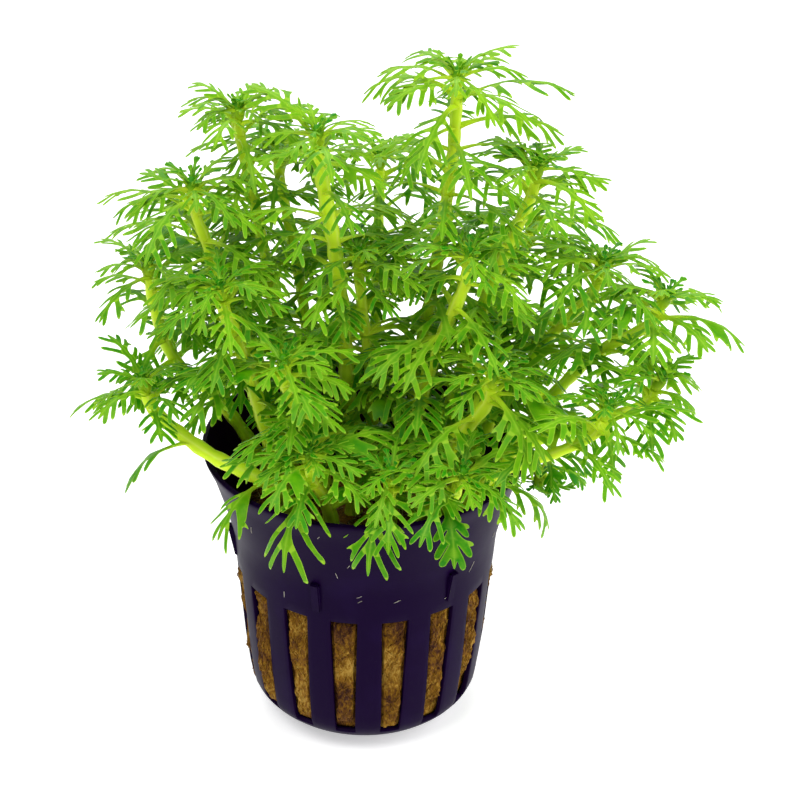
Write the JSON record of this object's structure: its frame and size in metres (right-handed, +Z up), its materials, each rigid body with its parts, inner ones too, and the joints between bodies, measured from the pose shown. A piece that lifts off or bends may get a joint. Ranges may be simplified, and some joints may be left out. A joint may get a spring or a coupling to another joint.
{
  "type": "potted water violet",
  "caption": "Bushy clump of feathery-leaved water violet shoots rooted in mineral wool in a small slotted plastic aquarium plant pot.",
  "frame": {"origin": "centre of the pot's flat underside", "axes": "+Z up along the pot's axis, -Y towards the side that the picture shows, +X to its right"},
  "size_m": [0.1094, 0.0768, 0.1181],
  "materials": {
    "pot": "injection moulded dark violet plastic with a soft sheen",
    "rockwool": "damp golden brown mineral wool",
    "stem": "smooth yellow-green living stem",
    "leaf": "fresh green living leaf with a soft sheen"
  },
  "bodies": {
    "root": {"pot": "pot", "rockwool": "rockwool", "stem_01": "stem", "stem_02": "stem", "stem_03": "stem", "stem_04": "stem", "stem_05": "stem", "stem_06": "stem", "stem_07": "stem", "stem_08": "stem", "stem_09": "stem", "stem_10": "stem", "stem_11": "stem", "stem_12": "stem", "stem_13": "stem", "stem_14": "stem", "stem_15": "stem", "stem_16": "stem", "stem_17": "stem", "stem_18": "stem", "stem_19": "stem", "stem_20": "stem", "stem_21": "stem", "stem_22": "stem", "stem_23": "stem", "stem_24": "stem", "crown_01": "leaf", "crown_02": "leaf", "crown_03": "leaf", "crown_04": "leaf", "crown_05": "leaf", "crown_06": "leaf", "crown_07": "leaf", "crown_08": "leaf", "crown_09": "leaf", "crown_10": "leaf", "crown_11": "leaf", "crown_12": "leaf", "crown_13": "leaf", "crown_14": "leaf", "crown_15": "leaf", "crown_16": "leaf", "crown_17": "leaf", "crown_18": "leaf", "crown_19": "leaf", "crown_20": "leaf", "crown_21": "leaf", "crown_22": "leaf", "crown_23": "leaf", "crown_24": "leaf"}
  },
  "joints": []
}
